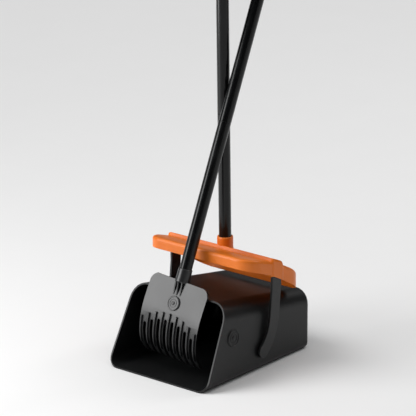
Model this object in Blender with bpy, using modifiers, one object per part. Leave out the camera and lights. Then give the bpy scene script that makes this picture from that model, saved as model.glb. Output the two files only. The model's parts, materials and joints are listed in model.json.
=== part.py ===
"""Long-handled swivel scoop with a hood, and the tined hand rake that stores in its mouth.

The mouth of the bin faces -Y, the floor is z = 0 and the origin is the middle of the
bin's flat underside. Lengths are metres, written as millimetres times MM.
"""
import math
import bpy
import bmesh
from mathutils import Matrix, Vector

MM = 0.001

# ---------------------------------------------------------------- bin
BIN_WIDTH = 196 * MM          # outside, at the floor
BIN_LENGTH = 250 * MM         # bottom lip to rear wall, along the floor
MOUTH_HEIGHT = 123 * MM       # top lip above the floor
MOUTH_SETBACK = 61 * MM       # top lip behind the bottom lip
REAR_HEIGHT = 89 * MM
REAR_LEAN = 16 * MM           # the rear wall leans back by this much at its top
SIDE_DRAFT = math.radians(3.3)      # lean of the side walls at the mouth
REAR_DRAFT = math.radians(7.2)      # and at the rear
BIN_WALL = 2.5 * MM
TOP_EDGE_R = 26 * MM
MOUTH_LOW_R = 17 * MM         # lower corners of the mouth
REAR_LOW_R = 8 * MM           # the same edges at the rear
REAR_CORNER_R = 10 * MM
ROUNDEL_R = 13.6 * MM         # plain raised disc on the +X side wall
ROUNDEL_PROUD = 1.2 * MM

# ---------------------------------------------------------------- pivots and arms
PIVOT_Y = 8.5 * MM
PIVOT_Z = 29.5 * MM
STUD_R = 4.0 * MM
RUNNING_GAP = 0.4 * MM        # radial room of the stud in the bin wall
TOUCH_GAP = 0.3 * MM          # between pieces that sit against each other
ARM_THICK = 3.8 * MM
ARM_WIDTH = 21.2 * MM
ARM_TOP_Y = 40 * MM
ARM_TOP_Z = 155 * MM

# ---------------------------------------------------------------- hood
HOOD_INSET = 1.4 * MM         # the spine's ends stand this proud of the hood's sides
HOOD_FRONT_Y = -26.5 * MM
HOOD_REAR_Y = 102 * MM
HOOD_FRONT_Z = 165.2 * MM     # lower edge of the front skirt
HOOD_REAR_Z = 99.6 * MM      # lower edge of the rear skirt
HOOD_FRONT_DEPTH = 17.2 * MM
HOOD_REAR_DEPTH = 27.4 * MM
HOOD_CROWN = 8.5 * MM           # rise of the top over its chord
SKIRT_CROWN = 7.3 * MM
HOOD_WALL = 2.5 * MM
HOOD_CORNER_R = 27 * MM
SPINE_RISE = 5.5 * MM
SPINE_SIDE = 2.6 * MM         # spine wall round each arm
BLOCK_INSET = 0.2 * MM        # arm blocks in the hollow, narrower than the spine on each side

# ---------------------------------------------------------------- tubes, grips
TUBE_R = 9.5 * MM
TUBE_WALL = 0.8 * MM
TUBE_Y = 40.9 * MM            # pan tube axis behind the origin
SECTION = 229 * MM            # one tube section of the pan handle
SOCKET_R = 12.4 * MM
SOCKET_TOP_Z = 184.3 * MM
SOCKET_FLOOR_Z = 147 * MM
GRIP_LENGTH = 118 * MM
GRIP_R = 13.2 * MM

# ---------------------------------------------------------------- rake
RAKE_Y = MOUTH_SETBACK - BIN_LENGTH / 2 - 0.5 * MM      # lower end of the ferrule
RAKE_Z = MOUTH_HEIGHT + 15 * MM
TUBES_APART = 2.06 * MM       # room between the two tubes where they cross
FERRULE_SET_BACK = 3.2 * MM   # ferrule axis behind the blade's face
RAKE_LEAN = math.radians(19.6)    # leans back, tube against the head's own upright
RAKE_SECTION = 247 * MM
FERRULE_R = 11.1 * MM
FERRULE_LENGTH = 21 * MM
HEAD_WIDTH = 111 * MM
HEAD_CORNER_R = 13 * MM
BLADE_THICK = 2.4 * MM
BLADE_LEAN = math.radians(24)
BLADE_STRAIGHT = 42 * MM
BLADE_BEND_R = 112 * MM
HOOK_R = 58 * MM
HOOK_ANGLE = math.radians(44)
TINES = 9
TINE_PITCH = 13 * MM
SLOT_WIDTH = 5.6 * MM
RIB_WIDTH = 1.9 * MM
RIB_PROUD = 2.8 * MM

# ---------------------------------------------------------------- small hardware
SCREW_R = 1.6 * MM
SCREW_HEAD_R = 4.2 * MM
SCREW_HEAD_T = 2.4 * MM
WASHER_R = 7.5 * MM
WASHER_T = 1.2 * MM

WELD = 5e-6                   # seams closer than this are one edge

AXIS_X = Matrix.Rotation(math.radians(90), 4, "Y")      # a turned piece laid along +X
AXIS_Y = Matrix.Rotation(math.radians(-90), 4, "X")     # a turned piece laid along +Y


# ================================================================ scene and materials
def clear_scene():
    for obj in list(bpy.data.objects):
        bpy.data.objects.remove(obj, do_unlink=True)


def make_collection(name):
    col = bpy.data.collections.new(name)
    bpy.context.scene.collection.children.link(col)
    return col


def linear(hex_code):
    """sRGB hex to a linear colour with alpha 1."""
    out = []
    for i in (0, 2, 4):
        v = int(hex_code[i:i + 2], 16) / 255
        out.append(v / 12.92 if v <= 0.04045 else ((v + 0.055) / 1.055) ** 2.4)
    return (*out, 1.0)


def material(name, hex_code, roughness, metallic=0.0):
    mat = bpy.data.materials.new(name)
    mat.use_nodes = True
    bsdf = mat.node_tree.nodes["Principled BSDF"]
    bsdf.inputs["Base Color"].default_value = linear(hex_code)
    bsdf.inputs["Roughness"].default_value = roughness
    bsdf.inputs["Metallic"].default_value = metallic
    mat.diffuse_color = linear(hex_code)
    return mat


# ================================================================ building helpers
def link(obj, mat=None):
    parts.objects.link(obj)
    if mat is not None:
        obj.data.materials.clear()
        obj.data.materials.append(mat)
    return obj


def from_bmesh(name, bm, mat=None):
    bmesh.ops.recalc_face_normals(bm, faces=bm.faces)
    mesh = bpy.data.meshes.new(name)
    bm.to_mesh(mesh)
    bm.free()
    return link(bpy.data.objects.new(name, mesh), mat)


def baked(obj, weld=WELD):
    """Replace an object by a plain mesh of its evaluated shape, welded along its seams."""
    bpy.context.view_layer.update()
    graph = bpy.context.evaluated_depsgraph_get()
    mesh = bpy.data.meshes.new_from_object(obj.evaluated_get(graph))
    bm = bmesh.new()
    bm.from_mesh(mesh)
    bmesh.ops.remove_doubles(bm, verts=bm.verts, dist=weld)
    bmesh.ops.dissolve_degenerate(bm, dist=weld, edges=bm.edges)
    bm.to_mesh(mesh)
    bm.free()
    new = bpy.data.objects.new("baked", mesh)
    new.matrix_world = obj.matrix_world.copy()
    name = obj.name
    bpy.data.objects.remove(obj, do_unlink=True)
    new.name = name
    mesh.name = name
    return link(new)


def prism(name, outline, start, end, mat=None, plane="YZ"):
    """A flat outline filled both sides and extruded from start to end across its plane."""
    curve = bpy.data.curves.new(name, "CURVE")
    curve.dimensions = "2D"
    curve.fill_mode = "BOTH"
    curve.extrude = abs(end - start) / 2
    spline = curve.splines.new("POLY")
    spline.points.add(len(outline) - 1)
    for point, (a, b) in zip(spline.points, outline):
        point.co = (a, b, 0, 1)
    spline.use_cyclic_u = True
    obj = link(bpy.data.objects.new(name, curve))
    middle = (start + end) / 2
    if plane == "YZ":          # outline x, y become world y, z; thickness runs along x
        obj.matrix_world = Matrix(((0, 0, 1, middle), (1, 0, 0, 0), (0, 1, 0, 0), (0, 0, 0, 1)))
    elif plane == "XZ":        # thickness runs along y
        obj.matrix_world = Matrix(((1, 0, 0, 0), (0, 0, -1, middle), (0, 1, 0, 0), (0, 0, 0, 1)))
    else:                      # XY, thickness along z
        obj.matrix_world = Matrix.Translation((0, 0, middle))
    obj = baked(obj)
    obj.data.transform(obj.matrix_world)
    obj.matrix_world = Matrix()
    if mat is not None:
        obj.data.materials.append(mat)
    return obj


def turned(name, profile, place=Matrix(), mat=None, steps=32):
    """Spin a profile (radius, height), listed top to bottom on its outer side, about Z."""
    closed = profile[0][0] > 1e-9
    mesh = bpy.data.meshes.new(name)
    edges = [(i, i + 1) for i in range(len(profile) - 1)]
    if closed:
        edges.append((len(profile) - 1, 0))
    mesh.from_pydata([(r, 0, z) for r, z in profile], edges, [])
    obj = link(bpy.data.objects.new(name, mesh), mat)
    screw = obj.modifiers.new("turn", "SCREW")
    screw.axis = "Z"
    screw.steps = steps
    screw.render_steps = steps
    screw.use_merge_vertices = True
    screw.merge_threshold = 1e-5
    screw.use_normal_calculate = False
    obj = baked(obj)
    obj.data.transform(place)
    obj.data.shade_smooth()
    obj.data.set_sharp_from_angle(angle=math.radians(40))
    return obj


def rod(name, radius, low, high, place=Matrix(), mat=None, steps=16):
    return turned(name, [(0, high), (radius, high), (radius, low), (0, low)], place, mat, steps)


def boolean(obj, tool, operation="DIFFERENCE"):
    """Cut with, or join, a tool that then stays aside as a wire guide."""
    mod = obj.modifiers.new(operation.lower(), "BOOLEAN")
    mod.operation = operation
    mod.object = tool
    mod.solver = "EXACT"
    for col in list(tool.users_collection):
        col.objects.unlink(tool)
    cutters.objects.link(tool)
    tool.hide_render = True
    tool.display_type = "WIRE"
    return obj


def joined(name, objs):
    """Several separate bodies in one object, to be used as a single cutter."""
    bm = bmesh.new()
    for obj in objs:
        bm.from_mesh(obj.data)
        bpy.data.objects.remove(obj, do_unlink=True)
    return from_bmesh(name, bm)


def soften(obj, width, segments=1, angle=40):
    mod = obj.modifiers.new("soft edges", "BEVEL")
    mod.width = width
    mod.segments = segments
    mod.limit_method = "ANGLE"
    mod.angle_limit = math.radians(angle)
    return obj


def pivot_empty(name, matrix):
    empty = bpy.data.objects.new(name, None)
    empty.empty_display_size = 0.03
    parts.objects.link(empty)
    empty.matrix_world = matrix
    return empty


def hang_on(empty, matrix, *objs):
    """Parent pieces made in world place to an empty, leaving them where they are."""
    for obj in objs:
        obj.parent = empty
        obj.matrix_parent_inverse = matrix.inverted()


def arc(centre, radius, start, end, count):
    """Points on an arc, angles in degrees."""
    out = []
    for i in range(count + 1):
        a = math.radians(start + (end - start) * i / count)
        out.append((centre[0] + radius * math.cos(a), centre[1] + radius * math.sin(a)))
    return out


def mirrored(obj, name):
    """A second piece, the mirror image of obj across the plane x = 0."""
    bm = bmesh.new()
    bm.from_mesh(obj.data)
    bmesh.ops.scale(bm, vec=(-1, 1, 1), verts=bm.verts)
    bmesh.ops.reverse_faces(bm, faces=bm.faces)
    mesh = bpy.data.meshes.new(name)
    bm.to_mesh(mesh)
    bm.free()
    mesh.materials.append(obj.data.materials[0])
    return link(bpy.data.objects.new(name, mesh))


# ================================================================ bin
def side_x(z, draft=SIDE_DRAFT):
    """Outside face of the bin's side wall at height z, at the mouth unless told otherwise."""
    return BIN_WIDTH / 2 - math.tan(draft) * z


def mouth_y(z):
    return MOUTH_SETBACK * z / MOUTH_HEIGHT - BIN_LENGTH / 2


def rear_y(z):
    return BIN_LENGTH / 2 + REAR_LEAN * z / REAR_HEIGHT


def wall_point(y, z):
    """Point on the outside of the +X wall, between the mouth's section and the rear one."""
    t = (y - mouth_y(z)) / (rear_y(z) - REAR_CORNER_R - mouth_y(z))
    return Vector(((1 - t) * side_x(z) + t * side_x(z, REAR_DRAFT), y, z))


def fillet(corners, radii, steps):
    """Polygon whose corners are rounded, each with its own radius."""
    out = []
    for i, p in enumerate(corners):
        a = (corners[i - 1] - p).normalized()
        b = (corners[(i + 1) % len(corners)] - p).normalized()
        half = a.angle(b) / 2
        centre = p + (a + b).normalized() * radii[i] / math.sin(half)
        start = p + a * radii[i] / math.tan(half) - centre
        end = p + b * radii[i] / math.tan(half) - centre
        turn = start.angle_signed(end)
        for k in range(steps + 1):
            c = math.cos(turn * k / steps), math.sin(turn * k / steps)
            out.append(centre + Vector((c[0] * start.x + c[1] * start.y, c[0] * start.y - c[1] * start.x)))
    return out


def bin_section(height, draft, low_r, inset=0.0):
    """Rounded outline of the bin across its length, pulled in by inset on all sides."""
    low, high = side_x(inset, draft) - inset, side_x(height - inset, draft) - inset
    corners = [Vector(c) for c in ((low, inset), (high, height - inset), (-high, height - inset), (-low, inset))]
    high_r = max(TOP_EDGE_R - inset, 3 * MM)
    low_r = max(low_r - inset, 3 * MM)
    return fillet(corners, (low_r, high_r, high_r, low_r), 6)


def make_bin():
    """A shell lofted from the slanted mouth to a rounded rear, with one wall thickness."""
    rings = [[(p.x, mouth_y(p.y), p.y) for p in bin_section(MOUTH_HEIGHT, SIDE_DRAFT, MOUTH_LOW_R)]]
    steps = 4
    for k in range(steps + 1):
        a = math.radians(90 * k / steps)
        inset = REAR_CORNER_R * (1 - math.cos(a))
        back = REAR_CORNER_R * (1 - math.sin(a))
        rings.append([(p.x, rear_y(p.y) - back, p.y)
                      for p in bin_section(REAR_HEIGHT, REAR_DRAFT, REAR_LOW_R, inset)])
    bm = bmesh.new()
    loops = [[bm.verts.new(co) for co in ring] for ring in rings]
    count = len(loops[0])
    for a, b in zip(loops, loops[1:]):
        for i in range(count):
            j = (i + 1) % count
            bm.faces.new((a[i], a[j], b[j], b[i]))
    bm.faces.new(loops[-1])
    shell = from_bmesh("bin_shell", bm, BLACK_BIN)
    wall = shell.modifiers.new("wall", "SOLIDIFY")
    wall.thickness = BIN_WALL
    wall.offset = -1
    wall.use_even_offset = True
    shell = baked(shell)

    holes = rod("bin_pivot_holes", STUD_R + RUNNING_GAP, -0.2, 0.2,
                Matrix.Translation((0, PIVOT_Y, PIVOT_Z)) @ AXIS_X)
    boolean(shell, holes)
    at = wall_point(69.3 * MM - BIN_LENGTH / 2, 0.56 * MOUTH_HEIGHT)
    up = (wall_point(at.y, at.z + 5 * MM) - wall_point(at.y, at.z - 5 * MM)).normalized()
    along = (wall_point(at.y + 5 * MM, at.z) - wall_point(at.y - 5 * MM, at.z)).normalized()
    place = Matrix.Translation(at) @ Matrix((along, up, along.cross(up))).transposed().to_4x4()
    edge = ROUNDEL_PROUD
    disc = turned("bin_roundel", [(0, edge), (ROUNDEL_R - 0.6 * MM, edge), (ROUNDEL_R, edge - 0.6 * MM),
                                  (ROUNDEL_R, -BIN_WALL / 2), (0, -BIN_WALL / 2)], place, None, 36)
    boolean(shell, disc, "UNION")
    return shell


# ================================================================ arms and their pivots
def arm_centreline():
    """From the pivot, up and back in a sweep, then nearly upright into the hood."""
    p0 = Vector((PIVOT_Y, PIVOT_Z))
    p1 = p0 + Vector((math.sin(math.radians(50)), math.cos(math.radians(50)))) * 22 * MM
    p3 = Vector((ARM_TOP_Y - 4.5 * MM, PIVOT_Z + 58.5 * MM))
    p2 = p3 - Vector((2.5, 26)) * MM
    pts = []
    for i in range(10):
        t = i / 9
        pts.append(p0 * (1 - t) ** 3 + p1 * 3 * t * (1 - t) ** 2 + p2 * 3 * t * t * (1 - t) + p3 * t ** 3)
    pts.append(Vector((ARM_TOP_Y, ARM_TOP_Z - 30 * MM)))
    pts.append(Vector((ARM_TOP_Y, ARM_TOP_Z)))
    return pts


def stroke(line, half):
    """Outline of a strap of constant width along a line, round at its first point."""
    left, right = [], []
    for i, p in enumerate(line):
        d = (line[min(i + 1, len(line) - 1)] - line[max(i - 1, 0)]).normalized()
        n = Vector((-d.y, d.x)) * half
        left.append(p + n)
        right.append(p - n)
    d = (line[1] - line[0]).normalized()
    heading = math.degrees(math.atan2(d.y, d.x))
    cap = arc(line[0], half, heading + 90, heading + 270, 12)
    return [tuple(p) for p in reversed(left)] + cap[1:-1] + [tuple(p) for p in right]


def arm_inner_x():
    """Inner face of each arm: clear of the bin wall where the arm's round end sweeps it."""
    return side_x(PIVOT_Z - ARM_WIDTH / 2) + TOUCH_GAP


def bin_inner_x():
    """Inside face of the bin's wall where the washer comes nearest to it."""
    return wall_point(PIVOT_Y + WASHER_R, PIVOT_Z + WASHER_R).x - BIN_WALL / math.cos(REAR_DRAFT)


def stud_end_x():
    return bin_inner_x() - 0.8 * MM


def make_arm():
    inner = arm_inner_x()
    arm = prism("arm_right", stroke(arm_centreline(), ARM_WIDTH / 2), inner, inner + ARM_THICK, BLACK_FRAME)
    soften(arm, 0.7 * MM)
    at_pivot = Matrix.Translation((0, PIVOT_Y, PIVOT_Z)) @ AXIS_X
    boolean(arm, rod("arm_stud", STUD_R, stud_end_x(), inner + ARM_THICK / 2, at_pivot), "UNION")
    boolean(arm, rod("arm_stud_hole", SCREW_R + TOUCH_GAP, stud_end_x() - 0.01, inner + 1 * MM, at_pivot))
    at_top = Matrix.Translation((0, ARM_TOP_Y - 0.7 * MM, ARM_TOP_Z - 11 * MM)) @ AXIS_X
    boolean(arm, rod("arm_top_hole", SCREW_R + TOUCH_GAP, inner - 0.01, inner + 3 * MM, at_top))
    return baked(arm)


def screw_profile(length):
    """Pan head screw: head above z = 0, shank below."""
    h = SCREW_HEAD_T
    return [(0, h - 0.9 * MM), (1.5 * MM, h - 0.9 * MM), (1.5 * MM, h), (SCREW_HEAD_R - 1.1 * MM, h),
            (SCREW_HEAD_R, h - 1.3 * MM), (SCREW_HEAD_R, 0), (SCREW_R, 0), (SCREW_R, -length), (0, -length)]


def washer_profile():
    hole = SCREW_R + TOUCH_GAP
    return [(hole, WASHER_T), (WASHER_R, WASHER_T), (WASHER_R, 0), (hole, 0)]


def make_pivot_hardware():
    """A washer and a screw on the end of each stud, inside the bin."""
    inward = Matrix.Rotation(math.radians(180), 4, "Y")
    washer_x = stud_end_x() - TOUCH_GAP
    at = Matrix.Translation((washer_x, PIVOT_Y, PIVOT_Z)) @ AXIS_X @ inward
    washer = turned("pivot_washer_right", washer_profile(), at, STEEL, 16)
    screw_x = washer_x - WASHER_T - TOUCH_GAP
    at = Matrix.Translation((screw_x, PIVOT_Y, PIVOT_Z)) @ AXIS_X @ inward
    screw = turned("pivot_screw_right", screw_profile(5.6 * MM), at, STEEL, 12)
    return [washer, screw, mirrored(washer, "pivot_washer_left"), mirrored(screw, "pivot_screw_left")]


# ================================================================ hood
def bowed(y, front_z, rear_z, crown):
    """Height of a shallow bow between the hood's front and rear, at a place y."""
    t = (y - HOOD_FRONT_Y) / (HOOD_REAR_Y - HOOD_FRONT_Y)
    return front_z + (rear_z - front_z) * t + crown * 4 * t * (1 - t)


def hood_top(y):
    return bowed(y, HOOD_FRONT_Z + HOOD_FRONT_DEPTH, HOOD_REAR_Z + HOOD_REAR_DEPTH, HOOD_CROWN)


def hood_skirt(y):
    return bowed(y, HOOD_FRONT_Z, HOOD_REAR_Z, SKIRT_CROWN)


def side_band(y0, y1, lift, drop):
    """Side outline between the skirt line and the top line, from y0 to y1."""
    n = 10
    ys = [y0 + (y1 - y0) * i / n for i in range(n + 1)]
    return ([(y, hood_skirt(y) - drop) for y in ys]
            + [(y, hood_top(y) + lift) for y in reversed(ys)])


def rounded_rectangle(x0, x1, y0, y1, r):
    return (arc((x1 - r, y1 - r), r, 0, 90, 5) + arc((x0 + r, y1 - r), r, 90, 180, 5)
            + arc((x0 + r, y0 + r), r, 180, 270, 5) + arc((x1 - r, y0 + r), r, 270, 360, 5))


def round_top_edges(obj, radius, segments):
    """Bevel only the sharp edges that lie on the top of a hood blank."""
    bm = bmesh.new()
    bm.from_mesh(obj.data)
    sharp = []
    for e in bm.edges:
        high = all(v.co.z > (hood_skirt(v.co.y) + hood_top(v.co.y)) / 2 for v in e.verts)
        if high and len(e.link_faces) == 2 and e.calc_face_angle() > math.radians(42):
            sharp.append(e)
    bmesh.ops.bevel(bm, geom=sharp, offset=radius, segments=segments, profile=0.5, affect="EDGES",
                    clamp_overlap=True)
    bm.to_mesh(obj.data)
    bm.free()
    return obj


def hood_blank(name, half, y0, y1, lift, drop, corner):
    """A block between the skirt line and the top line, with rounded corners in plan."""
    blank = prism(name, side_band(y0, y1, lift, drop), -half, half)
    plan = prism(name + "_plan", rounded_rectangle(-half, half, y0, y1, corner), 0.02, 0.25, plane="XY")
    boolean(blank, plan, "INTERSECT")
    return baked(blank)


def hood_reach():
    """Half width over the spine: it holds each arm with a wall outside it."""
    return arm_inner_x() + ARM_THICK + TOUCH_GAP + SPINE_SIDE


def make_hood():
    half = hood_reach() - HOOD_INSET
    body = hood_blank("hood", half, HOOD_FRONT_Y, HOOD_REAR_Y, 0, 0, HOOD_CORNER_R)
    round_top_edges(body, 4.5 * MM, 3)
    body.data.materials.append(ORANGE)

    # the spine across the top, turned down over both arms
    half_width = ARM_WIDTH / 2 + 0.5 * MM + SPINE_SIDE
    spine = hood_blank("hood_spine", hood_reach(), ARM_TOP_Y - half_width, ARM_TOP_Y + half_width,
                       SPINE_RISE, -1 * MM, 2.2 * MM)
    boolean(body, round_top_edges(spine, 1.8 * MM, 2), "UNION")
    body = baked(body)

    # hollow underneath
    hollow = hood_blank("hood_hollow", half - HOOD_WALL, HOOD_FRONT_Y + HOOD_WALL, HOOD_REAR_Y - HOOD_WALL,
                        -HOOD_WALL, 30 * MM, HOOD_CORNER_R - HOOD_WALL)
    inner = arm_inner_x()
    for sign in (-1, 1):       # a block is left round the top of each arm
        a, b = ARM_TOP_Y - half_width + BLOCK_INSET, ARM_TOP_Y + half_width - BLOCK_INSET
        boolean(hollow, prism("hood_arm_block", [(a, 0.05), (b, 0.05), (b, 0.25), (a, 0.25)],
                              sign * (inner - TOUCH_GAP - HOOD_WALL), sign * 0.15))
    boolean(body, baked(hollow))
    body = baked(body)
    # tube socket, joined after the hollow so that its lower end stands inside
    at_tube = Matrix.Translation((0, TUBE_Y, 0))
    top, low = SOCKET_TOP_Z, SOCKET_FLOOR_Z - 0.5 * MM
    socket = turned("hood_socket", [(0, top), (SOCKET_R - 1.2 * MM, top), (SOCKET_R - 0.3 * MM, top - 0.4 * MM),
                                    (SOCKET_R, top - 1.3 * MM), (SOCKET_R, low), (0, low)], at_tube, None, 36)
    boolean(body, socket, "UNION")
    body = baked(body)
    boolean(body, rod("hood_socket_bore", TUBE_R + TOUCH_GAP, SOCKET_FLOOR_Z + 1.5 * MM, top + 0.02,
                      at_tube, None, 36))
    # pockets for the arms, their screw holes, and the socket's screw hole
    y0, y1 = ARM_TOP_Y - ARM_WIDTH / 2 - 0.5 * MM, ARM_TOP_Y + ARM_WIDTH / 2 + 0.5 * MM
    pocket_top = ARM_TOP_Z + 0.6 * MM
    for sign in (-1, 1):
        slot = prism("hood_arm_pocket", [(y0, 0.09), (y1, 0.09), (y1, pocket_top), (y0, pocket_top)],
                     sign * (inner - TOUCH_GAP), sign * (inner + ARM_THICK + TOUCH_GAP))
        boolean(body, slot)
    body = baked(body)
    at_top = Matrix.Translation((0, ARM_TOP_Y - 0.7 * MM, ARM_TOP_Z - 11 * MM)) @ AXIS_X
    for sign in (-1, 1):
        low_x, high_x = sorted((sign * (inner - HOOD_WALL - 3 * MM), sign * (inner + 0.5 * MM)))
        boolean(body, rod("hood_screw_hole", SCREW_R + TOUCH_GAP, low_x, high_x, at_top))
    back = Matrix.Translation((0, TUBE_Y, SOCKET_TOP_Z - 7 * MM)) @ AXIS_Y
    boolean(body, rod("hood_socket_screw_hole", SCREW_R + TOUCH_GAP, 5 * MM, 20 * MM, back))
    return baked(body)


def make_hood_screws():
    """One screw through the inner side of each arm's pocket, heads inside the hood."""
    inward = Matrix.Rotation(math.radians(180), 4, "Y")
    x = arm_inner_x() - HOOD_WALL - 2 * TOUCH_GAP
    at = Matrix.Translation((x, ARM_TOP_Y - 0.7 * MM, ARM_TOP_Z - 11 * MM)) @ AXIS_X @ inward
    screw = turned("hood_screw_right", screw_profile(5.2 * MM), at, STEEL, 12)
    return [screw, mirrored(screw, "hood_screw_left")]


# ================================================================ handles
def tube_profile(low, high):
    inner = TUBE_R - TUBE_WALL
    return [(inner, high), (TUBE_R - 0.3 * MM, high), (TUBE_R, high - 0.3 * MM),
            (TUBE_R, low + 0.3 * MM), (TUBE_R - 0.3 * MM, low), (inner, low)]


def coupler_profile(middle):
    """Plug inside a joint between two tubes, with a plain waist between its two lands."""
    r = TUBE_R - TUBE_WALL - TOUCH_GAP
    half = 20 * MM
    out = [(0, half), (r - 1.0 * MM, half), (r, half - 1.5 * MM), (r, 6 * MM), (r - 0.6 * MM, 5 * MM),
           (r - 0.6 * MM, -5 * MM), (r, -6 * MM), (r, -half + 1.5 * MM), (r - 1.0 * MM, -half), (0, -half)]
    return [(a, b + middle) for a, b in out]


def grip_profile(low):
    """Soft sleeve with shallow rings, thicker at both ends."""
    bore, high = TUBE_R + TOUCH_GAP, low + GRIP_LENGTH
    out = [(bore, high), (GRIP_R - 1.2 * MM, high), (GRIP_R, high - 1.4 * MM), (GRIP_R, high - 9 * MM)]
    rings = 4
    pitch = (GRIP_LENGTH - 24 * MM) / rings
    for i in range(rings):
        z = high - 11 * MM - i * pitch
        out += [(GRIP_R - 1.3 * MM, z), (GRIP_R - 1.3 * MM, z - pitch * 0.32),
                (GRIP_R - 0.4 * MM, z - pitch * 0.5), (GRIP_R - 0.4 * MM, z - pitch * 0.82)]
    out += [(GRIP_R - 0.2 * MM, low + 8 * MM), (GRIP_R - 1.8 * MM, low), (bore, low)]
    return out


def make_cap(name, tube_top, place):
    """End plug with a flat hanging eye."""
    base = tube_top + 1.0 * MM
    r = TUBE_R - TUBE_WALL - TOUCH_GAP
    plug = turned(name, [(0, base + 8 * MM), (6 * MM, base + 7.6 * MM), (10 * MM, base + 5.6 * MM),
                         (GRIP_R - 1.0 * MM, base + 2.6 * MM), (GRIP_R - 0.6 * MM, base), (r, base),
                         (r, base - 13 * MM), (r - 1 * MM, base - 14 * MM), (0, base - 14 * MM)],
                  Matrix(), BLACK_FRAME, 24)
    top = base + 20 * MM
    eye = prism(name + "_eye", [(-8.5 * MM, base + 2 * MM), (8.5 * MM, base + 2 * MM)]
                + arc((0, top), 8.5 * MM, 0, 180, 14), -2.2 * MM, 2.2 * MM, plane="XZ")
    boolean(plug, eye, "UNION")
    boolean(plug, rod(name + "_hole", 4.6 * MM, -0.02, 0.02, Matrix.Translation((0, 0, top)) @ AXIS_Y))
    plug = baked(plug)
    plug.data.transform(place)
    return plug


def make_handle(prefix, low, section, place, screw_z):
    """Three tube sections, the two couplers inside them, a sleeve grip and an end cap."""
    made, seam = [], 0.6 * MM
    for i, level in enumerate(("lower", "middle", "upper")):
        a = low + i * section
        b = a + section - seam
        tube = turned(f"{prefix}_tube_{level}", tube_profile(a, b), Matrix(), TUBE_PAINT, 30)
        if i == 0:
            hole = Matrix.Translation((0, 0, screw_z)) @ AXIS_Y
            boolean(tube, rod(f"{prefix}_tube_hole", SCREW_R + TOUCH_GAP, 5 * MM, 15 * MM, hole))
            tube = baked(tube)
        tube.data.transform(place)
        made.append(tube)
        if i:
            made.append(turned(f"{prefix}_coupler_{('', 'lower', 'upper')[i]}",
                               coupler_profile(a - seam / 2), place, BLACK_FRAME, 20))
    top = low + 3 * section - seam
    made.append(turned(f"{prefix}_grip", grip_profile(top - GRIP_LENGTH), place, RUBBER, 22))
    made.append(make_cap(f"{prefix}_hang_cap", top, place))
    return made


# ================================================================ rake
def blade_path(offset=0.0, low=-1.0, high=1.0):
    """Side line of the rake head from its top edge down: straight, eased, hooked back.

    The offset is measured forward, square to the line; low and high keep a stretch of it.
    """
    pts = []
    y, z, a = 0.4 * MM, 3.2 * MM, BLADE_LEAN
    pts.append((y, z, a))
    for _ in range(2):
        y -= math.sin(a) * BLADE_STRAIGHT / 2
        z -= math.cos(a) * BLADE_STRAIGHT / 2
        pts.append((y, z, a))
    for radius, turn, n in ((BLADE_BEND_R, BLADE_LEAN, 5), (HOOK_R, HOOK_ANGLE, 6)):
        step = turn / n
        for _ in range(n):
            y -= math.sin(a - step / 2) * radius * step
            z -= math.cos(a - step / 2) * radius * step
            a -= step
            pts.append((y, z, a))
    line = [(y - offset * math.cos(a), z + offset * math.sin(a)) for y, z, a in pts]
    ends = [(y_at(line, z), z) for z in (high, low) if line[-1][1] < z < line[0][1]]
    inside = [p for p in line if low < p[1] < high]
    return ends[:1] * (high < 1) + inside + ends[-1:] * (low > -1)


def y_at(line, z):
    """Where a side line passes a height z."""
    for (y0, z0), (y1, z1) in zip(line, line[1:]):
        if z1 <= z <= z0:
            return y0 + (y1 - y0) * (z - z0) / (z1 - z0)
    return line[-1][0]


def front_y(z):
    """Front face of the blade at height z."""
    return y_at(blade_path(), z)


def tine_x(i):
    return (i - (TINES - 1) / 2) * TINE_PITCH


def slot_outline(i):
    """One gap between two tines: round at the root, a little wider at the tips."""
    x = tine_x(i) + TINE_PITCH / 2
    r = SLOT_WIDTH / 2
    root = -55 * MM - 14 * MM * (x / (3.5 * TINE_PITCH)) ** 2
    top = arc((x, root - r), r, 0, 180, 6)
    return top + [(x - r, -0.095), (x - r - 1.1 * MM, -0.14), (x + r + 1.1 * MM, -0.14), (x + r, -0.095)]


def rib_outline(i):
    """Raised rib down the middle of a tine, blunt at the top, run out at the tip."""
    x = tine_x(i)
    high = -44 * MM - 16 * MM * (x / (4 * TINE_PITCH)) ** 2
    inside = blade_path(-1.2 * MM, -0.108, high)
    outside = blade_path(RIB_PROUD, -0.104, high - 0.8 * MM)
    return inside + list(reversed(outside))


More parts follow.
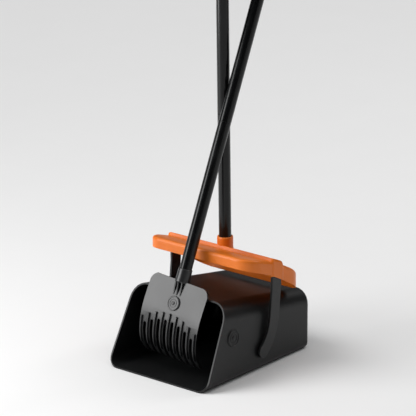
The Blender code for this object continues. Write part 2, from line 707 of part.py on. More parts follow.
def make_rake_head():
    """A curved plate cut into tines, with ribs, a ferrule and three webs under it."""
    back = blade_path(-BLADE_THICK)
    half, r = HEAD_WIDTH / 2, HEAD_CORNER_R
    head = prism("rake_head", blade_path() + list(reversed(back)), -half - 2 * MM, half + 2 * MM)
    ribs = [prism("rib", rib_outline(i), tine_x(i) - RIB_WIDTH / 2, tine_x(i) + RIB_WIDTH / 2)
            for i in range(TINES)]
    boolean(head, joined("rake_ribs", ribs), "UNION")
    head = baked(head)
    outline = ([(-half + 1.1 * MM, -0.14), (half - 1.1 * MM, -0.14), (half, -0.095)]
               + arc((half - r, 3.0 * MM - r), r, 0, 90, 8) + arc((-half + r, 3.0 * MM - r), r, 90, 180, 8)
               + [(-half, -0.095)])
    boolean(head, prism("rake_outline", outline, -0.08, 0.08, plane="XZ"), "INTERSECT")
    head = baked(head)
    slots = [prism("slot", slot_outline(i), -0.08, 0.08, plane="XZ") for i in range(TINES - 1)]
    boolean(head, joined("rake_slots", slots))
    head = baked(head)

    # ferrule on the tube's axis, with a blind bore
    along = tube_frame()
    rf, lf = FERRULE_R, FERRULE_LENGTH
    ferrule = turned("rake_ferrule", [(0, lf), (rf - 1.1 * MM, lf), (rf - 0.4 * MM, lf - 0.7 * MM),
                                      (rf, 1.2 * MM), (rf - 0.8 * MM, 0), (0, 0)], along, None, 36)
    boolean(head, ferrule, "UNION")
    # three webs from the ferrule's underside down the front of the plate
    webs = []
    for i in (-1, 0, 1):
        x = i * 6.2 * MM
        drop = math.sqrt(1 - (x / rf) ** 2)
        nose = 3.2 * MM - (rf - 1.2 * MM) * drop
        web = [(nose, 5 * MM), (nose, 1.5 * MM), (front_y(-17.5 * MM) - 0.4 * MM, -17.5 * MM),
               (front_y(-18 * MM) + 1.2 * MM, -18 * MM), (3 * MM, 5 * MM)]
        webs.append(prism("web", web, x - 0.95 * MM, x + 0.95 * MM))
    boolean(head, joined("rake_webs", webs), "UNION")
    # plain raised disc above the tines
    z = -29.3 * MM
    place = Matrix.Translation((0, front_y(z), z)) @ Matrix.Rotation(math.radians(90) - BLADE_LEAN, 4, "X")
    disc = turned("rake_roundel", [(0, 1.8 * MM), (10.8 * MM, 1.8 * MM), (11.4 * MM, 1.2 * MM),
                                   (11.4 * MM, -1.2 * MM), (0, -1.2 * MM)], place, None, 36)
    boolean(head, disc, "UNION")
    head = baked(head)
    boolean(head, rod("rake_bore", TUBE_R + TOUCH_GAP, 2.5 * MM, lf + 0.02, along, None, 36))
    hole = along @ Matrix.Translation((0, 0, 13 * MM)) @ AXIS_Y
    boolean(head, rod("rake_screw_hole", SCREW_R + TOUCH_GAP, 5 * MM, 20 * MM, hole))
    head = baked(head)
    head.data.materials.clear()
    head.data.materials.append(BLACK_RAKE)
    return head


def tube_frame():
    """Frame of the rake's tube inside the head's own frame: +Z runs up the tube."""
    return Matrix.Translation((0, FERRULE_SET_BACK, 0)) @ Matrix.Rotation(-RAKE_LEAN, 4, "X")


def rake_roll():
    """Lean towards +X that carries the rake's tube past the pan's tube, TUBES_APART from it."""
    plan = math.asin((2 * TUBE_R + TUBES_APART) / (TUBE_Y - RAKE_Y - FERRULE_SET_BACK))
    return math.asin(math.tan(plan) * math.tan(RAKE_LEAN))


def socket_screw(name, place, radius, mat):
    """Screw whose head stands on the back of a round socket."""
    at = place @ Matrix.Translation((0, radius + TOUCH_GAP, 0)) @ AXIS_Y
    return turned(name, screw_profile(5.5 * MM), at, mat, 12)


# ================================================================ assembly
clear_scene()
parts = make_collection("scoop_and_rake_set")
cutters = make_collection("cutters")

BLACK_BIN = material("bin black plastic", "1D1E20", 0.42)
BLACK_FRAME = material("frame black plastic", "1F2022", 0.45)
BLACK_RAKE = material("rake black plastic", "232426", 0.45)
ORANGE = material("hood orange plastic", "E0702B", 0.40)
TUBE_PAINT = material("tube black coating", "18191B", 0.35)
RUBBER = material("grip rubber", "1A1A1B", 0.75)
STEEL = material("zinc plated steel", "B9BCC0", 0.32, 1.0)

make_bin()

pivot = Matrix.Translation((0, PIVOT_Y, PIVOT_Z))
handle_pivot = pivot_empty("handle_pivot", pivot)
arm = make_arm()
handle_parts = [arm, mirrored(arm, "arm_left"), make_hood()]
handle_parts += make_pivot_hardware() + make_hood_screws()
screw_height = SOCKET_TOP_Z - 7 * MM
handle_parts += make_handle("pan", SOCKET_FLOOR_Z + 2 * MM, SECTION, Matrix.Translation((0, TUBE_Y, 0)),
                            screw_height)
handle_parts.append(socket_screw("pan_socket_screw", Matrix.Translation((0, TUBE_Y, screw_height)),
                                 SOCKET_R, STEEL))
hang_on(handle_pivot, pivot, *handle_parts)

rake_place = Matrix.Translation((0, RAKE_Y, RAKE_Z)) @ Matrix.Rotation(rake_roll(), 4, "Y")
rake_slide = pivot_empty("rake_slide", rake_place)
rake_parts = [make_rake_head()]
rake_parts += make_handle("rake", 3 * MM, RAKE_SECTION, tube_frame(), 13 * MM)
rake_parts.append(socket_screw("rake_socket_screw", tube_frame() @ Matrix.Translation((0, 0, 13 * MM)),
                               FERRULE_R, STEEL))
for piece in rake_parts:
    piece.parent = rake_slide          # made in the rake's own frame
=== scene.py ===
# %% [markdown]
# # A long-handled pan and rake, in Blender
#
# The object is a scoop used standing up. A black moulded bin lies on the floor with its slanted
# mouth open. An orange hood rides over it on two black arms that pivot low on the bin's sides,
# and the pan's tube stands in the hood's socket. A rake with nine tines leans in the mouth.
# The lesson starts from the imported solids, which fix every size, and gives each piece the
# rounded edges, the small details and the finish that moulded and coated parts really have.

# %% Load the frame
import json
import math

import bmesh
import bpy
from mathutils import Matrix, Vector
from mathutils.bvhtree import BVHTree


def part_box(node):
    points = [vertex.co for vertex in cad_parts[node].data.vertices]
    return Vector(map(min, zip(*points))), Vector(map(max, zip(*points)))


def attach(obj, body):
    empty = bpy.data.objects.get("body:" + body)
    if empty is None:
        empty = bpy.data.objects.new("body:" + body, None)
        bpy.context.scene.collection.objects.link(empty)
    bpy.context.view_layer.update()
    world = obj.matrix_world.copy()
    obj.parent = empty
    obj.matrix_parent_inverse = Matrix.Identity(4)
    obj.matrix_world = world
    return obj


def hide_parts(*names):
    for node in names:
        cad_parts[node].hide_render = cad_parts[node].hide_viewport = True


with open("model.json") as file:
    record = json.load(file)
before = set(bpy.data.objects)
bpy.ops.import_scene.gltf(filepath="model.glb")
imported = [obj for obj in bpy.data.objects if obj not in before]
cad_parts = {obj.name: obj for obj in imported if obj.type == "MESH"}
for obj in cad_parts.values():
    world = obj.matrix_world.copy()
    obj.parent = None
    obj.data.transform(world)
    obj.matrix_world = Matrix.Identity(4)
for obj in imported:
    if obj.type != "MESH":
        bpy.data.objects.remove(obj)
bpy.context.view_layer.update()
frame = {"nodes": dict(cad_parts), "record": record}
NODES = frame["nodes"]
MM = 0.001

# %% [markdown]
# ## The camera
#
# A product picture is taken from a few metres away with a long lens, so that upright lines stay
# nearly parallel. We give the camera a place, a point to look at and a slight roll, and build its
# matrix from three directions: right, up and back.

# %% Camera
CAMERA_AZIMUTH = math.radians(40.01)
CAMERA_ELEVATION = math.radians(18.418)
CAMERA_ROLL = math.radians(-0.751)
CAMERA_DISTANCE = 4.0
CAMERA_AIM = Vector((0.106, -0.125, 0.29365))
LENS_MM = 240.16


def make_camera():
    a, e, r = CAMERA_AZIMUTH, CAMERA_ELEVATION, CAMERA_ROLL
    back = Vector((math.sin(a) * math.cos(e), -math.cos(a) * math.cos(e), math.sin(e)))
    right = Vector((math.cos(a), math.sin(a), 0))
    up = back.cross(right)
    right_r = math.cos(r) * right + math.sin(r) * up
    up_r = math.cos(r) * up - math.sin(r) * right
    data = bpy.data.cameras.new("camera")
    data.lens = LENS_MM
    data.sensor_width = 36
    data.clip_end = 100
    cam = bpy.data.objects.new("camera", data)
    cam.matrix_world = (Matrix.Translation(CAMERA_AIM + back * CAMERA_DISTANCE)
                        @ Matrix((right_r, up_r, back)).transposed().to_4x4())
    bpy.context.scene.collection.objects.link(cam)
    bpy.context.scene.camera = cam
    return cam


camera = make_camera()
print("camera at", [round(c, 3) for c in camera.location])

# %% [markdown]
# ## Studio: a plain floor and soft light
#
# Black plastic shows its shape only by what it mirrors, so the light is the picture. A pale floor
# fills the surroundings. The sky is dark at the horizon and bright overhead. A broad key light from
# the left draws the soft shadow on the right, a low panel on the same side puts the sheen on the
# rake's plate, and a small panel behind catches the bin's upper edge.


# %% Colour and node helpers
def linear(hex_code):
    """An sRGB hex value as linear red, green, blue and an alpha of 1."""
    out = []
    for i in (0, 2, 4):
        v = int(hex_code[i:i + 2], 16) / 255
        out.append(v / 12.92 if v <= 0.04045 else ((v + 0.055) / 1.055) ** 2.4)
    return (*out, 1.0)


def add(tree, kind, settings=None, links=None):
    """Add a node, set its properties and sockets, and link sockets to other nodes' outputs."""
    node = tree.nodes.new(kind)
    for key, value in (settings or {}).items():
        if isinstance(key, str) and hasattr(node, key):
            setattr(node, key, value)
        else:
            node.inputs[key].default_value = value
    for key, source in (links or {}).items():
        tree.links.new(source, node.inputs[key])
    return node


def empty_material(name):
    mat = bpy.data.materials.new(name)
    mat.use_nodes = True
    mat.node_tree.nodes.clear()
    return mat, mat.node_tree


# %% Floor, sky and key light
def make_floor():
    bm = bmesh.new()
    bmesh.ops.create_circle(bm, cap_ends=True, segments=96, radius=14)
    mesh = bpy.data.meshes.new("floor")
    bm.to_mesh(mesh)
    bm.free()
    floor = bpy.data.objects.new("floor", mesh)
    bpy.context.scene.collection.objects.link(floor)
    mat, tree = empty_material("painted studio floor, matt white")
    where = add(tree, "ShaderNodeTexCoord")
    mottle = add(tree, "ShaderNodeTexNoise", {"Scale": 9.0, "Detail": 3.0},
                 {"Vector": where.outputs["Object"]})
    tint = add(tree, "ShaderNodeMix", {"data_type": "RGBA", 6: linear("F0F0F0"), 7: linear("F2F2F2")},
               {0: mottle.outputs["Fac"]})
    bsdf = add(tree, "ShaderNodeBsdfPrincipled", {"Roughness": 0.75, "Specular IOR Level": 0.2},
               {"Base Color": tint.outputs[2]})
    add(tree, "ShaderNodeOutputMaterial", links={"Surface": bsdf.outputs[0]})
    mesh.materials.append(mat)
    floor.location.z = -0.0002
    return floor


def make_sky(horizon, zenith):
    """A light tent: dim at the horizon, so that black pieces stay black, and bright overhead."""
    world = bpy.data.worlds.new("studio")
    world.use_nodes = True
    tree = world.node_tree
    tree.nodes.clear()
    where = add(tree, "ShaderNodeTexCoord")
    parts = add(tree, "ShaderNodeSeparateXYZ", links={"Vector": where.outputs["Generated"]})
    height = add(tree, "ShaderNodeMapRange", {"From Min": 0.30, "To Min": horizon, "To Max": zenith},
                 {"Value": parts.outputs["Z"]})
    sky = add(tree, "ShaderNodeBackground", {"Color": linear("FFFFFF")}, {"Strength": height.outputs[0]})
    add(tree, "ShaderNodeOutputWorld", links={"Surface": sky.outputs[0]})
    bpy.context.scene.world = world


def aim(obj, azimuth, elevation, distance, target=(0, 0, 0.1)):
    """Put a lamp round the object and point it at the target. Azimuth 0 is in front of the mouth."""
    a, e = math.radians(azimuth), math.radians(elevation)
    way = Vector((math.sin(a) * math.cos(e), -math.cos(a) * math.cos(e), math.sin(e)))
    obj.location = Vector(target) + way * distance
    obj.rotation_euler = way.to_track_quat("Z", "Y").to_euler()


def make_sun(name, azimuth, elevation, strength, spread):
    data = bpy.data.lights.new(name, "SUN")
    data.energy = strength
    data.angle = math.radians(spread)
    lamp = bpy.data.objects.new(name, data)
    bpy.context.scene.collection.objects.link(lamp)
    aim(lamp, azimuth, elevation, 4)


def make_panel(name, azimuth, elevation, distance, size, power, target=(0, 0, 0.1)):
    data = bpy.data.lights.new(name, "AREA")
    data.shape = "RECTANGLE"
    data.size, data.size_y = size
    data.energy = power
    lamp = bpy.data.objects.new(name, data)
    bpy.context.scene.collection.objects.link(lamp)
    aim(lamp, azimuth, elevation, distance, target)


SKY_HORIZON, SKY_ZENITH = 0.02, 0.90
KEY = 1.16
bpy.context.scene.view_settings.view_transform = "Standard"
make_floor()
make_sky(SKY_HORIZON, SKY_ZENITH)
make_sun("key", -52, 52, KEY, 34)
make_panel("left_panel", -37, 16, 1.35, (0.8, 0.7), 11, (0, 0, 0.1))
make_panel("back_strip", 160, 42, 2.4, (0.5, 0.5), 5)
print("studio: floor, sky", SKY_HORIZON, "to", SKY_ZENITH, "key", KEY)

# %% [markdown]
# ## Materials
#
# There are seven finishes. Four of them are injection-moulded plastic: the same recipe
# with other numbers. A mould is etched with a fine grain, so the surface is satin, not glossy;
# ejection and handling leave long faint scuffs; and dust settles on faces that look up.


# %% Moulded plastic
def moulded_plastic(name, colour, worn, roughness, grain_mm, dust, scuff=0.10, bump=0.05, shine=0.5):
    """Satin moulded plastic: etched grain, faint scuffs, slight tone drift and settled dust."""
    mat, tree = empty_material(name)
    where = add(tree, "ShaderNodeTexCoord")
    at = where.outputs["Object"]
    grain = add(tree, "ShaderNodeTexNoise", {"Scale": 1 / (grain_mm * MM), "Detail": 2.0, "Roughness": 0.6},
                {"Vector": at})
    drift = add(tree, "ShaderNodeTexNoise", {"Scale": 1 / (55 * MM), "Detail": 4.0, "Roughness": 0.55},
                {"Vector": at})
    turned_at = add(tree, "ShaderNodeMapping", {"Rotation": (0.5, 0.35, 0.8), "Scale": (26, 1.0, 26)},
                    {"Vector": at})
    lines = add(tree, "ShaderNodeTexNoise", {"Scale": 1 / (60 * MM), "Detail": 3.0, "Roughness": 0.7},
                {"Vector": turned_at.outputs[0]})
    scratches = add(tree, "ShaderNodeMapRange", {"From Min": 0.64, "From Max": 0.76},
                    {"Value": lines.outputs["Fac"]})
    patches = add(tree, "ShaderNodeMapRange", {"From Min": 0.50, "From Max": 0.72},
                  {"Value": drift.outputs["Fac"]})
    scuffs = add(tree, "ShaderNodeMath", {"operation": "MULTIPLY"},
                 {0: scratches.outputs[0], 1: patches.outputs[0]})
    facing = add(tree, "ShaderNodeSeparateXYZ", links={"Vector": where.outputs["Normal"]})
    upward = add(tree, "ShaderNodeMapRange", {"From Min": 0.55, "From Max": 1.0},
                 {"Value": facing.outputs["Z"]})
    specks = add(tree, "ShaderNodeTexNoise", {"Scale": 1 / (1.6 * MM), "Detail": 2.0}, {"Vector": at})
    speck = add(tree, "ShaderNodeMapRange", {"From Min": 0.56, "From Max": 0.78},
                {"Value": specks.outputs["Fac"]})
    settled = add(tree, "ShaderNodeMath", {"operation": "MULTIPLY"},
                  {0: upward.outputs[0], 1: speck.outputs[0]})
    light_dust = add(tree, "ShaderNodeMath", {"operation": "MULTIPLY", 1: dust}, {0: settled.outputs[0]})
    tone = add(tree, "ShaderNodeMix", {"data_type": "RGBA", 6: linear(colour), 7: linear(worn)},
               {0: patches.outputs[0]})
    scuff_share = add(tree, "ShaderNodeMath", {"operation": "MULTIPLY", 1: scuff}, {0: scuffs.outputs[0]})
    scuffed = add(tree, "ShaderNodeMix", {"data_type": "RGBA", 7: linear("B8B5B0")},
                  {0: scuff_share.outputs[0], 6: tone.outputs[2]})
    dusted = add(tree, "ShaderNodeMix", {"data_type": "RGBA", 7: linear("A39D94")},
                 {0: light_dust.outputs[0], 6: scuffed.outputs[2]})
    rough = add(tree, "ShaderNodeMapRange", {"To Min": roughness - 0.05, "To Max": roughness + 0.07},
                {"Value": drift.outputs["Fac"]})
    rougher = add(tree, "ShaderNodeMath", {"operation": "MULTIPLY_ADD", 1: 0.18},
                  {0: scuffs.outputs[0], 2: rough.outputs[0]})
    relief = add(tree, "ShaderNodeBump", {"Strength": bump, "Distance": 0.3 * MM},
                 {"Height": grain.outputs["Fac"]})
    bsdf = add(tree, "ShaderNodeBsdfPrincipled", {"IOR": 1.49, "Specular IOR Level": shine},
               {"Base Color": dusted.outputs[2], "Roughness": rougher.outputs[0],
                "Normal": relief.outputs[0]})
    add(tree, "ShaderNodeOutputMaterial", links={"Surface": bsdf.outputs[0]})
    return mat


BIN_PLASTIC = moulded_plastic("black polypropylene, etched mould", "0D0E0F", "111213", 0.42, 0.9, 0.015,
                              shine=0.42)
ARM_PLASTIC = moulded_plastic("black nylon, etched mould", "121314", "191A1B", 0.42, 0.8, 0.06)
RAKE_PLASTIC = moulded_plastic("black polypropylene, satin mould", "141516", "1A1B1C", 0.31, 0.9, 0.04,
                               shine=0.6)
HOOD_PLASTIC = moulded_plastic("orange polypropylene, satin mould", "E5761C", "DC6E19", 0.34, 1.1, 0.04, 0.12,
                               shine=0.38)
for plastic in (BIN_PLASTIC, ARM_PLASTIC, RAKE_PLASTIC, HOOD_PLASTIC):
    print("moulded plastic:", plastic.name)

# %% [markdown]
# The tubes are thin steel, powder coated: the powder melts and flows into a skin with a faint
# orange peel, 2 to 3 mm across, under an even satin gloss. Grips are rubber with a fine stipple,
# matt and a little grey. Screws and washers are zinc plated: bright metal, clouded in patches.


# %% Coated steel, rubber and zinc
def powder_coated_steel(name, colour, roughness):
    """Powder coat on tube: orange-peel relief, rubbed lighter here and there."""
    mat, tree = empty_material(name)
    where = add(tree, "ShaderNodeTexCoord")
    at = where.outputs["Object"]
    peel = add(tree, "ShaderNodeTexNoise", {"Scale": 1 / (2.4 * MM), "Detail": 1.0}, {"Vector": at})
    rub = add(tree, "ShaderNodeTexNoise", {"Scale": 1 / (38 * MM), "Detail": 5.0, "Roughness": 0.62},
              {"Vector": at})
    worn = add(tree, "ShaderNodeMapRange", {"From Min": 0.52, "From Max": 0.78},
               {"Value": rub.outputs["Fac"]})
    tone = add(tree, "ShaderNodeMix", {"data_type": "RGBA", 6: linear(colour), 7: linear("141516")},
               {0: worn.outputs[0]})
    rough = add(tree, "ShaderNodeMapRange", {"To Min": roughness - 0.04, "To Max": roughness + 0.08},
                {"Value": rub.outputs["Fac"]})
    relief = add(tree, "ShaderNodeBump", {"Strength": 0.10, "Distance": 0.2 * MM},
                 {"Height": peel.outputs["Fac"]})
    bsdf = add(tree, "ShaderNodeBsdfPrincipled", {"IOR": 1.52, "Specular IOR Level": 0.28},
               {"Base Color": tone.outputs[2], "Roughness": rough.outputs[0], "Normal": relief.outputs[0]})
    add(tree, "ShaderNodeOutputMaterial", links={"Surface": bsdf.outputs[0]})
    return mat


def stippled_rubber(name, colour):
    """Soft grip rubber: round stipple about 1.6 mm apart, dull, greyer where it is handled."""
    mat, tree = empty_material(name)
    where = add(tree, "ShaderNodeTexCoord")
    at = where.outputs["Object"]
    dots = add(tree, "ShaderNodeTexVoronoi", {"Scale": 1 / (1.6 * MM), "Randomness": 0.35}, {"Vector": at})
    handled = add(tree, "ShaderNodeTexNoise", {"Scale": 1 / (25 * MM), "Detail": 4.0}, {"Vector": at})
    tone = add(tree, "ShaderNodeMix", {"data_type": "RGBA", 6: linear(colour), 7: linear("303032")},
               {0: handled.outputs["Fac"]})
    rough = add(tree, "ShaderNodeMapRange", {"To Min": 0.66, "To Max": 0.84},
                {"Value": handled.outputs["Fac"]})
    relief = add(tree, "ShaderNodeBump", {"Strength": 0.35, "Distance": 0.3 * MM, "invert": True},
                 {"Height": dots.outputs["Distance"]})
    bsdf = add(tree, "ShaderNodeBsdfPrincipled", {"IOR": 1.52},
               {"Base Color": tone.outputs[2], "Roughness": rough.outputs[0], "Normal": relief.outputs[0]})
    add(tree, "ShaderNodeOutputMaterial", links={"Surface": bsdf.outputs[0]})
    return mat


def zinc_plated_steel(name):
    """Zinc plate: pale bluish metal, dulled in patches, with a fine grain."""
    mat, tree = empty_material(name)
    where = add(tree, "ShaderNodeTexCoord")
    at = where.outputs["Object"]
    cloud = add(tree, "ShaderNodeTexNoise", {"Scale": 1 / (6 * MM), "Detail": 4.0}, {"Vector": at})
    grain = add(tree, "ShaderNodeTexNoise", {"Scale": 1 / (0.5 * MM), "Detail": 1.0}, {"Vector": at})
    tone = add(tree, "ShaderNodeMix", {"data_type": "RGBA", 6: linear("B9BCC0"), 7: linear("9EA0A2")},
               {0: cloud.outputs["Fac"]})
    rough = add(tree, "ShaderNodeMapRange", {"To Min": 0.24, "To Max": 0.46}, {"Value": cloud.outputs["Fac"]})
    relief = add(tree, "ShaderNodeBump", {"Strength": 0.12, "Distance": 0.1 * MM},
                 {"Height": grain.outputs["Fac"]})
    bsdf = add(tree, "ShaderNodeBsdfPrincipled", {"Metallic": 1.0},
               {"Base Color": tone.outputs[2], "Roughness": rough.outputs[0], "Normal": relief.outputs[0]})
    add(tree, "ShaderNodeOutputMaterial", links={"Surface": bsdf.outputs[0]})
    return mat


TUBE_COAT = powder_coated_steel("powder-coated steel tube, satin black", "08090A", 0.18)
GRIP_RUBBER = stippled_rubber("grip rubber, stippled", "1A1A1B")
ZINC = zinc_plated_steel("zinc-plated steel")
print("other finishes:", TUBE_COAT.name, "|", GRIP_RUBBER.name, "|", ZINC.name)

# %% [markdown]
# ## Rounding the moulded edges
#
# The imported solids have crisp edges. A mould can't make those: plastic flows into every corner
# with a radius of a few tenths of a millimetre, and that thin radius is what catches the light
# round the mouth and along the tines. So each piece is a copy of its solid with its flat
# triangles merged and its edges beveled, and the flat faces keep flat shading by weighted normals.

# %% Rounded copy of a solid
SLOT_OF = {n["node"]: n["material_slot"] for n in frame["record"]["subparts"]}
BODY_OF = {n: body for body, names in frame["record"]["behaviour"]["bodies"].items() for n in names}
SLOT_FINISH = {"bin_plastic": BIN_PLASTIC, "frame_plastic": ARM_PLASTIC, "rake_plastic": RAKE_PLASTIC,
               "hood_plastic": HOOD_PLASTIC, "tube_coating": TUBE_COAT, "grip_rubber": GRIP_RUBBER,
               "zinc_steel": ZINC}


def new_piece(name, bm, node_like, mat=None):
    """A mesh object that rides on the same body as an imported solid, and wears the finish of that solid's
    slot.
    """
    mesh = bpy.data.meshes.new(name)
    bm.to_mesh(mesh)
    bm.free()
    mesh.shade_smooth()
    mesh.materials.append(mat or SLOT_FINISH[SLOT_OF[node_like]])
    obj = bpy.data.objects.new(name, mesh)
    bpy.context.scene.collection.objects.link(obj)
    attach(obj, BODY_OF[node_like])
    return obj


def rounded(name, node, radius_mm, segments, angle):
    """Stand in for a solid with a copy whose edges are rounded."""
    bm = bmesh.new()
    bm.from_mesh(NODES[node].data)
    bmesh.ops.remove_doubles(bm, verts=bm.verts, dist=3e-6)
    bmesh.ops.dissolve_limit(bm, angle_limit=math.radians(0.5), verts=bm.verts, edges=bm.edges)
    obj = new_piece(name, bm, node)
    bevel = obj.modifiers.new("mould radius", "BEVEL")
    bevel.width = radius_mm * MM
    bevel.segments = segments
    bevel.limit_method = "ANGLE"
    bevel.angle_limit = math.radians(angle)
    bevel.miter_outer = "MITER_ARC"
    flat = obj.modifiers.new("flat faces", "WEIGHTED_NORMAL")
    flat.keep_sharp = False
    flat.weight = 80
    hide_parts(node)
    return obj


ROUNDED = {
    "bin": ("bin_shell", 0.9, 3, 28),
    "left_arm": ("arm_left", 0.8, 2, 40), "right_arm": ("arm_right", 0.8, 2, 40),
    "rake_plate": ("rake_head", 0.45, 2, 40),
}
for name, (node, radius, segments, angle) in ROUNDED.items():
    piece = rounded(name, node, radius, segments, angle)
    print(name, "rounds", node, "by", radius, "mm")

# %% [markdown]
# ## The orange hood
#
# The real hood is one thin moulding: a tilted, arched lid with a soft edge all round, a skirt
# that closes over the bin's mouth, and a raised spine across the middle that turns down over
# both arms. A solid with beveled edges looks like cut sheet, so this piece is built as a
# surface: rows across the hood, and in each row points from side to side. Each point's height is
# the arch, plus the spine, less a quarter round near the outline. A second, smaller surface
# inside gives the moulding its wall.

# %% Hood measures, read from the solids
hood_low, hood_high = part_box("hood")
arm_low, arm_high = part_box("arm_right")
tube_low, tube_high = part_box("pan_tube_lower")
TUBE_Y = (tube_low.y + tube_high.y) / 2
TUBE_R = (tube_high.x - tube_low.x) / 2
HOOD_Y0, HOOD_Y1 = hood_low.y, hood_high.y
SPINE_PROUD, SPINE_RISE = 1.4 * MM, 5.5 * MM
HOOD_HALF = hood_high.x - SPINE_PROUD
HOOD_CORNER, HOOD_WALL, HOOD_EDGE = 27 * MM, 2.5 * MM, 5.0 * MM
SKIRT_Z = (165.2 * MM, 99.6 * MM, 7.3 * MM)     # front, rear, crown
TOP_Z = (182.4 * MM, 127.0 * MM, 8.5 * MM)
ARM_WIDTH = 21.2 * MM
SPINE_Y = 40 * MM
SPINE_HALF = ARM_WIDTH / 2 + 3.1 * MM
print("hood from y", round(HOOD_Y0, 4), "to", round(HOOD_Y1, 4), "half width", round(HOOD_HALF, 4))


# %% Heights and outline of the hood
def arch(y, front, rear, crown):
    t = (y - HOOD_Y0) / (HOOD_Y1 - HOOD_Y0)
    return front + (rear - front) * t + crown * 4 * t * (1 - t)


def ease(t):
    t = min(max(t, 0.0), 1.0)
    return t * t * (3 - 2 * t)


def spine(y, blend=3.4 * MM):
    """1 on the spine, 0 beside it, with a soft step between."""
    return ease((SPINE_HALF - abs(y - SPINE_Y)) / blend)


def outline_distance(x, y, inset):
    """How far a point lies inside the hood's rounded outline, pulled in by inset."""
    r = HOOD_CORNER - inset
    half_x = HOOD_HALF + SPINE_PROUD * spine(y) - inset
    half_y = (HOOD_Y1 - HOOD_Y0) / 2 - inset
    px, py = abs(x) - (half_x - r), abs(y - (HOOD_Y0 + HOOD_Y1) / 2) - (half_y - r)
    if px > 0 and py > 0:
        return r - math.hypot(px, py)
    return r - max(px, py)


def half_width(y, inset):
    """Half the hood's width at a row y."""
    r = HOOD_CORNER - inset
    half_y = (HOOD_Y1 - HOOD_Y0) / 2 - inset
    py = abs(y - (HOOD_Y0 + HOOD_Y1) / 2) - (half_y - r)
    cut = r - math.sqrt(max(r * r - py * py, 0)) if py > 0 else 0
    return HOOD_HALF + SPINE_PROUD * spine(y) - inset - cut


def rows(inset):
    """Places of the rows: close together at both ends and on the flanks of the spine."""
    y0, y1 = HOOD_Y0 + inset, HOOD_Y1 - inset
    ends = [0, 0.12, 0.4, 0.9, 1.6, 2.6, 3.8, 5.2, 7.5, 10.5, 14, 18, 22.5, 27]
    flank = [SPINE_HALF - 3.6 * MM + 0.5 * MM * k for k in range(9)]
    front = [y0 + e * MM for e in ends] + [SPINE_Y - f for f in flank]
    middle = [SPINE_Y + 10.0 * MM * k / 3 for k in range(-3, 4)]
    rear = [SPINE_Y + f for f in flank] + [y1 - e * MM for e in ends]
    return sorted(set(round(y, 6) for y in front + middle + rear))


def across():
    """Places along a row from -1 to 1, crowded towards both ends."""
    side = [1 - d for d in (0, 0.0012, 0.004, 0.009, 0.017, 0.028, 0.041, 0.056, 0.08, 0.12, 0.18, 0.26)]
    middle = [0.66, 0.56, 0.46, 0.36, 0.26, 0.16, 0.08]
    half = side + middle
    return [-s for s in half] + [0.0] + [s for s in reversed(half)]


def lid(bm, inset, lower, edge, with_spine):
    """One skin of the hood and its skirt. Returns the loop of points along the skirt's lower edge."""
    shares, grid = across(), []
    for y in rows(inset):
        width, row = half_width(y, inset), []
        for s in shares:
            d = max(outline_distance(s * width, y, inset), 0)
            roll = edge - math.sqrt(max(edge ** 2 - (edge - d) ** 2, 0)) if d < edge else 0
            rise = SPINE_RISE * spine(y) if with_spine else 0
            row.append(bm.verts.new((s * width, y, arch(y, *TOP_Z) - lower + rise - roll)))
        grid.append(row)
    for a, b in zip(grid, grid[1:]):
        for i in range(len(shares) - 1):
            bm.faces.new((a[i], a[i + 1], b[i + 1], b[i]))
    rim = grid[0] + [row[-1] for row in grid[1:-1]] + grid[-1][::-1] + [row[0] for row in grid[-2:0:-1]]
    upper = rim
    for share in (0.2, 0.5, 0.8, 0.95, 1.0):
        loop = []
        for v in rim:
            z = v.co.z + (arch(v.co.y, *SKIRT_Z) - v.co.z) * share
            loop.append(bm.verts.new((v.co.x, v.co.y, z)))
        for i in range(len(rim)):
            j = (i + 1) % len(rim)
            bm.faces.new((upper[i], upper[j], loop[j], loop[i]))
        upper = loop
    return upper


# %% Hood cover: outer skin, inner skin and the skirt's edge between them
def join_loops(bm, a, b):
    for i in range(len(a)):
        j = (i + 1) % len(a)
        bm.faces.new((a[i], a[j], b[j], b[i]))


def make_hood_cover():
    bm = bmesh.new()
    outer = lid(bm, 0, 0, HOOD_EDGE, True)
    inner = lid(bm, HOOD_WALL, HOOD_WALL, HOOD_EDGE - HOOD_WALL, False)
    join_loops(bm, outer, inner)
    bmesh.ops.remove_doubles(bm, verts=bm.verts, dist=2e-6)
    bmesh.ops.recalc_face_normals(bm, faces=bm.faces)
    cover = new_piece("hood_cover", bm, "hood")
    soft = cover.modifiers.new("skirt edge", "BEVEL")
    soft.width = 0.7 * MM
    soft.segments = 2
    soft.angle_limit = math.radians(50)
    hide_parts("hood")
    return cover


cover = make_hood_cover()
print("hood cover:", len(cover.data.polygons), "faces")

# %% [markdown]
# The socket is turned: a thick collar with a rounded lip that swells into the spine at its foot.
# Under the hood each arm stands in a sleeve moulded with the lid. We make the sleeve as a ring of
# wall round the arm's section. Its top is level and the lid slopes, so only its rear edge meets
# the lid.


# %% Socket and arm sleeves
def spun(name, profile, place, node_like, steps=48):
    """Turn a closed profile of (radius, height) in millimetres about Z, then put it in place."""
    bm = bmesh.new()
    loops = []
    for k in range(steps):
        a = 2 * math.pi * k / steps
        loops.append([bm.verts.new((r * MM * math.cos(a), r * MM * math.sin(a), z * MM)) for r, z in profile])
    for k in range(steps):
        join_loops(bm, loops[k], loops[(k + 1) % steps])
    bmesh.ops.remove_doubles(bm, verts=bm.verts, dist=1e-6)
    bmesh.ops.recalc_face_normals(bm, faces=bm.faces)
    bm.transform(place)
    obj = new_piece(name, bm, node_like)
    obj.data.set_sharp_from_angle(angle=math.radians(38))
    return obj


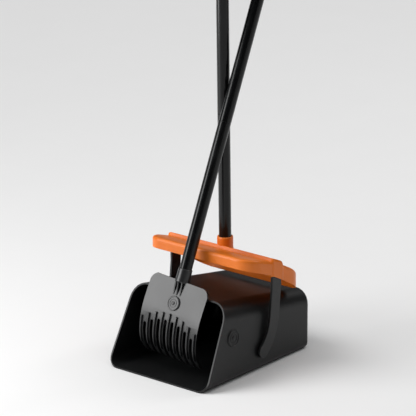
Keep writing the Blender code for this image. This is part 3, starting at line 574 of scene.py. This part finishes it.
def ring_wall(name, outer, inner, low, high, node_like):
    """A rectangular tube: outer and inner are (x0, x1, y0, y1)."""
    bm = bmesh.new()
    loops = []
    for (x0, x1, y0, y1), z in ((outer, low), (outer, high), (inner, high), (inner, low)):
        loops.append([bm.verts.new((x, y, z)) for x, y in ((x0, y0), (x1, y0), (x1, y1), (x0, y1))])
    for k in range(4):
        join_loops(bm, loops[k], loops[(k + 1) % 4])
    bmesh.ops.recalc_face_normals(bm, faces=bm.faces)
    return new_piece(name, bm, node_like)


SOCKET_FOOT, SOCKET_TOP, BORE = 149, 184.3, TUBE_R / MM + 0.3
FOOT = [(12.4, SOCKET_FOOT), (12.4, 164.5), (12.7, 163.2), (13.5, 161.6), (12.35, 166.5)]
LIP = [(12.35, 181.6), (12.1, 183.2), (11.3, 184.0), (10.6, SOCKET_TOP), (BORE, 183.9), (BORE, SOCKET_FOOT)]
spun("hood_socket", FOOT + LIP, Matrix.Translation((0, TUBE_Y, 0)), "hood")
SLEEVE_LOW, SLEEVE_TOP = 143 * MM, 155 * MM
SLEEVE_OUT, SLEEVE_IN = 12.8 * MM, 11.1 * MM       # half widths, outside and inside
for side, name in ((1, "right_arm_sleeve"), (-1, "left_arm_sleeve")):
    xs = sorted((side * (arm_low.x - 2.8 * MM), side * (arm_high.x + 0.4 * MM)))
    xi = sorted((side * (arm_low.x - 0.3 * MM), side * (arm_high.x + 0.35 * MM)))
    ring_wall(name, (xs[0], xs[1], SPINE_Y - SLEEVE_OUT, SPINE_Y + SLEEVE_OUT),
              (xi[0], xi[1], SPINE_Y - SLEEVE_IN, SPINE_Y + SLEEVE_IN), SLEEVE_LOW, SLEEVE_TOP, "hood")
print("socket top", SOCKET_TOP, "mm; sleeves round both arms")

# %% [markdown]
# The bin's side and the rake's plate each carry a plain round medallion. The solids hold the raised
# discs. We look for each disc's face with a ray, and set a raised ring and a low button on it.

# %% Rings on the two medallions
def on_face(node, start, way):
    """Where a ray meets a solid: a matrix with Z along the face's normal."""
    solid = NODES[node]
    bm = bmesh.new()
    bm.from_mesh(solid.data)
    bm.transform(solid.matrix_world)
    place, normal, *_ = BVHTree.FromBMesh(bm).ray_cast(Vector(start), Vector(way))
    bm.free()
    return Matrix.Translation(place) @ normal.to_track_quat("Z", "Y").to_matrix().to_4x4()


def medallion(name, node, start, way, radius):
    """A raised ring just inside the disc's edge, a finer ring, and a button in the middle."""
    place = on_face(node, start, way)
    for part, r, width, height in (("outer_ring", radius, 1.5, 0.7), ("inner_ring", radius * 0.62, 0.9, 0.5)):
        spun(f"{name}_{part}", [(r, -0.3), (r, height - 0.2), (r - 0.25, height), (r - width + 0.25, height),
                                (r - width, height - 0.2), (r - width, -0.3)], place, node)
    b = radius * 0.30
    spun(f"{name}_button", [(0, -0.3), (b, -0.3), (b, 0.3), (b - 0.4, 0.6), (0, 0.8)], place, node)


BESIDE_BIN = (200 * MM, -55.7 * MM, 68.9 * MM)         # level with each disc, clear of the solids
BEFORE_RAKE = (-2.2 * MM, -300 * MM, 109.5 * MM)
medallion("bin_medallion", "bin_shell", BESIDE_BIN, (-1, 0, 0), 12.6)
medallion("rake_medallion", "rake_head", BEFORE_RAKE, (0, 1, 0), 10.4)
print("medallions on the bin's side and the rake's plate")

# %% [markdown]
# ## Finishes on the other solids
#
# The tubes, grips, caps, couplers, screws and washers are turned shapes that the solids already
# hold well, so they keep their shape and only get their real finish.

# %% Finish the rest
done = {node for node, *_ in ROUNDED.values()} | {"hood"}
for node, obj in sorted(NODES.items()):
    if node in done:
        continue
    obj.data.materials.clear()
    obj.data.materials.append(SLOT_FINISH[SLOT_OF[node]])
print("finished", len(NODES) - len(done), "more solids")
